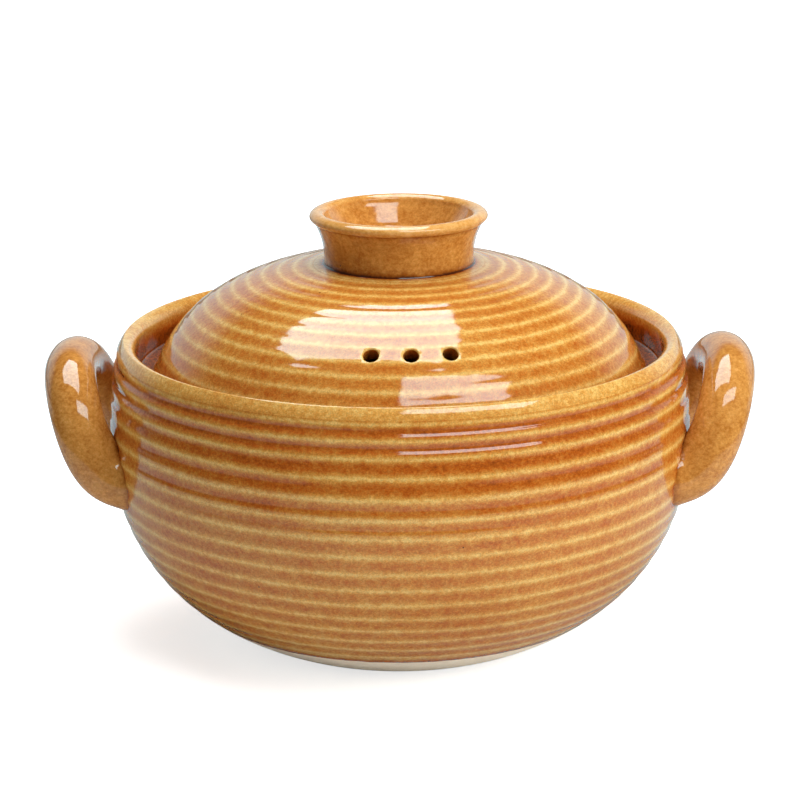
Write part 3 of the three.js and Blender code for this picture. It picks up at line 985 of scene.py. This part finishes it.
def panel_material(glow):
    """White cloth face of a softbox, as bright as the glaze mirrors it."""
    material = bpy.data.materials.new("softbox_cloth")
    material.use_nodes = True
    material.cycles.emission_sampling = "NONE"
    tree = material.node_tree
    tree.nodes.clear()
    path = add(tree, "ShaderNodeLightPath")
    mirrored = path.outputs["Is Glossy Ray"]
    strength = calc(tree, "MULTIPLY", mirrored, glow)
    light = add(tree, "ShaderNodeEmission", {}, {"Color": tint(DAYLIGHT), "Strength": strength})
    add(tree, "ShaderNodeOutputMaterial", {}, {"Surface": light})
    return material


def stage_sheet(name, corners, material):
    """Flat sheet between corner points."""
    mesh = bpy.data.meshes.new(name)
    mesh.from_pydata(corners, [], [list(range(len(corners)))])
    mesh.materials.append(material)
    sheet = bpy.data.objects.new(name, mesh)
    bpy.context.scene.collection.objects.link(sheet)
    return sheet


def softbox(name, corners, height, glow):
    """Mirror image of a softbox in the glaze. Its light comes from a lamp."""
    panel = stage_sheet(name, [(x, y, height) for x, y in corners], panel_material(glow))
    panel.visible_camera = False
    panel.visible_diffuse = False
    panel.visible_shadow = False


def soft_lamp(name, place, target, size, watts):
    """Square soft lamp. It doesn't show in the glaze itself."""
    lamp = bpy.data.lights.new(name, "AREA")
    lamp.shape = "RECTANGLE"
    lamp.size, lamp.size_y = size
    lamp.energy = watts
    holder = bpy.data.objects.new(name, lamp)
    aim = (Vector(target) - Vector(place)).to_track_quat("-Z", "Y").to_matrix().to_4x4()
    holder.matrix_world = Matrix.Translation(place) @ aim
    holder.visible_camera = False
    holder.visible_glossy = False
    bpy.context.scene.collection.objects.link(holder)


def build_world():
    """White studio to the eye. In the glaze a white sheet hangs behind the pot and the room is dim."""
    world = bpy.data.worlds.new("studio")
    bpy.context.scene.world = world
    world.use_nodes = True
    tree = world.node_tree
    tree.nodes.clear()
    path = add(tree, "ShaderNodeLightPath")
    way = add(tree, "ShaderNodeSeparateXYZ", {}, {0: add(tree, "ShaderNodeTexCoord").outputs["Generated"]})
    behind = fade(tree, way.outputs["Y"], BACKDROP_SIDE)
    low = fade(tree, way.outputs["Z"], BACKDROP_TOP, (1.0, 0.0))
    sheet = calc(tree, "MULTIPLY", behind, low)
    mirrored = add(tree, "ShaderNodeMapRange", {}, {"Value": sheet, "To Min": ROOM_GLOW, "To Max": 1.0})
    level = add(tree, "ShaderNodeMix", {},
                {"Factor": path.outputs["Is Glossy Ray"], "A": WORLD_FILL, "B": mirrored})
    direct = calc(tree, "MAXIMUM", path.outputs["Is Camera Ray"], path.outputs["Is Transmission Ray"])
    strength = add(tree, "ShaderNodeMix", {}, {"Factor": direct, "A": level, "B": 1.0})
    colour = add(tree, "ShaderNodeMix", {"data_type": "RGBA"},
                 {"Factor": path.outputs["Is Glossy Ray"], "A": tint("#ffffff"), "B": tint(DAYLIGHT)})
    glow = add(tree, "ShaderNodeBackground", {}, {"Color": colour, "Strength": strength})
    add(tree, "ShaderNodeOutputWorld", {}, {"Surface": glow})


def build_stage():
    half = FLOOR_SIZE / 2
    stage_sheet("floor", [(-half, -half, 0), (half, -half, 0), (half, half, 0), (-half, half, 0)],
                floor_material())
    build_world()
    softbox("overhead_softbox", OVERHEAD_CORNERS, OVERHEAD_HEIGHT, OVERHEAD_GLOW)
    softbox("front_softbox", FRONT_CORNERS, FRONT_HEIGHT, FRONT_GLOW)
    for name, (place, aim, size, watts) in LAMPS.items():
        soft_lamp(name, place, aim, size, watts)


def build_camera():
    back = Vector((0, -math.cos(VIEW_ELEVATION), math.sin(VIEW_ELEVATION)))
    camera = bpy.data.cameras.new("photo_view")
    camera.lens = VIEW_LENS
    camera.sensor_width = VIEW_SENSOR
    holder = bpy.data.objects.new("photo_view", camera)
    tilt = Euler((math.pi / 2 - VIEW_ELEVATION, 0, 0)).to_matrix().to_4x4()
    roll = Matrix.Rotation(-VIEW_ROLL, 4, "Z")
    holder.matrix_world = Matrix.Translation(VIEW_TARGET + back * VIEW_DISTANCE) @ tilt @ roll
    bpy.context.scene.collection.objects.link(holder)
    bpy.context.scene.camera = holder


# The casserole

def build_casserole():
    body_glaze = amber_glaze("amber_glaze_on_ribbed_stoneware", BODY_COLOURS, BODY_SPECKLE, BODY_PATCHES)
    coil_glaze = amber_glaze("amber_glaze_on_coil", COIL_COLOURS, COIL_SPECKLE, COIL_PATCHES)
    clay_tree = thrown_clay_tree()
    thrown = {
        "Rib pitch": 1.0,
        "Deepest": RIB_DEEPEST,
        "Crest softness": CREST_SOFTNESS,
        "Hollow softness": HOLLOW_SOFTNESS,
        "Glaze slip": GLAZE_SLIP,
        "Glaze above": GLAZE_ABOVE,
        "Glaze below": GLAZE_BELOW,
        "Sway": RIB_WANDER,
        "Sway length": RIB_WANDER_LENGTH,
        "Material": body_glaze,
    }

    outline, pitch = bowl_outline()
    bowl = grow(outline_object("ribbed_bowl", outline), (clay_tree, {
        **thrown, "Facets": BOWL_FACETS, "Rib pitch": pitch,
        "Sway radius": BELLY_RADIUS, "Seed": BOWL_SEED,
    }))
    pool_round_roots(bowl.data)

    drill = grow(outline_object("steam_hole_drill", drill_outline()), (clay_tree, {
        **thrown, "Facets": DRILL_FACETS,
    }))
    outline, pitch = lid_outline()
    normal = walk(dome_path(), [length(dome_path(HOLE_RING_RADIUS))])[1][0]
    lid = grow(outline_object("ribbed_dome_lid", outline), (clay_tree, {
        **thrown, "Facets": LID_FACETS, "Rib pitch": pitch,
        "Sway radius": LID_RADIUS, "Seed": LID_SEED,
    }), (steam_holes_tree(), {
        "Drill": drill, "Count": HOLE_COUNT, "Spacing": HOLE_SPACING, "Ring radius": HOLE_RING_RADIUS,
        "Row turn": HOLE_ROW_TURN, "Height": dome_height(HOLE_RING_RADIUS),
        "Lean": math.atan2(-normal[0], -normal[1]), "Edge": HOLE_ROUND, "Material": body_glaze,
    }))
    bpy.data.objects.remove(drill)

    knob = grow(outline_object("flared_knob", knob_outline()), (clay_tree, {
        **thrown, "Facets": KNOB_FACETS, "Material": coil_glaze,
    }))
    right_ear = ear_handle("right_ear_handle", False, coil_glaze)
    left_ear = ear_handle("left_ear_handle", True, coil_glaze)

    for piece, body, node, slot in (
        (bowl, "pot", "bowl", "bowl_glaze"),
        (right_ear, "pot", "right_handle", "handle_glaze"),
        (left_ear, "pot", "left_handle", "handle_glaze"),
        (lid, "cover", "lid", "lid_glaze"),
        (knob, "cover", "lid_knob", "knob_glaze"),
    ):
        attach(piece, body)
        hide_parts(node)


build_camera()
build_casserole()
build_stage()
bpy.context.scene.view_settings.view_transform = "Standard"
